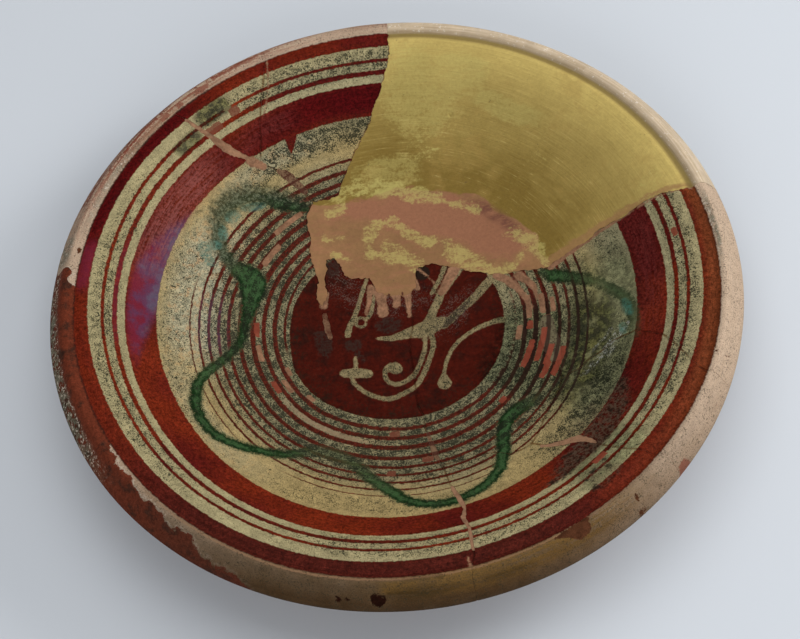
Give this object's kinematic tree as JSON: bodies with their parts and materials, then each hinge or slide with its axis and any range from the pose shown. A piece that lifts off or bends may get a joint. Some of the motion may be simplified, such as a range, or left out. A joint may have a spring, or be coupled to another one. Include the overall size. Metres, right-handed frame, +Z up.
{
  "type": "glazed earthenware dish",
  "caption": "Wide shallow slip-decorated earthenware dish with a rolled lip and a foot ring, mended from its sherds with a plaster infill and putty along the breaks.",
  "frame": {"origin": "centre of the foot ring, on the surface that the dish stands on", "axes": "+Z up along the axis that the dish was turned on; the plaster infill lies towards +X and +Y, the large left sherd towards -X"},
  "size_m": [0.32, 0.32, 0.054],
  "materials": {
    "slip_glaze": "dark red and cream slips under a worn lead glaze, with green trailing",
    "painted_plaster": "matt, brushed ochre paint on plaster",
    "tan_putty": "matt tan putty",
    "red_putty": "matt red retouching on putty"
  },
  "bodies": {
    "root": {"left_sherd": "slip_glaze", "upper_left_rim_sherd": "slip_glaze", "top_rim_sherd": "slip_glaze", "right_rim_sherd": "slip_glaze", "lower_right_rim_sherd": "slip_glaze", "bottom_rim_sherd": "slip_glaze", "floor_sherd": "slip_glaze", "plaster_infill": "painted_plaster", "upper_left_filler": "tan_putty", "upper_left_inner_filler": "tan_putty", "lower_right_filler": "tan_putty", "bottom_filler": "tan_putty", "bottom_inner_filler": "tan_putty", "right_filler": "red_putty", "medallion_filler": "tan_putty"}
  },
  "joints": []
}
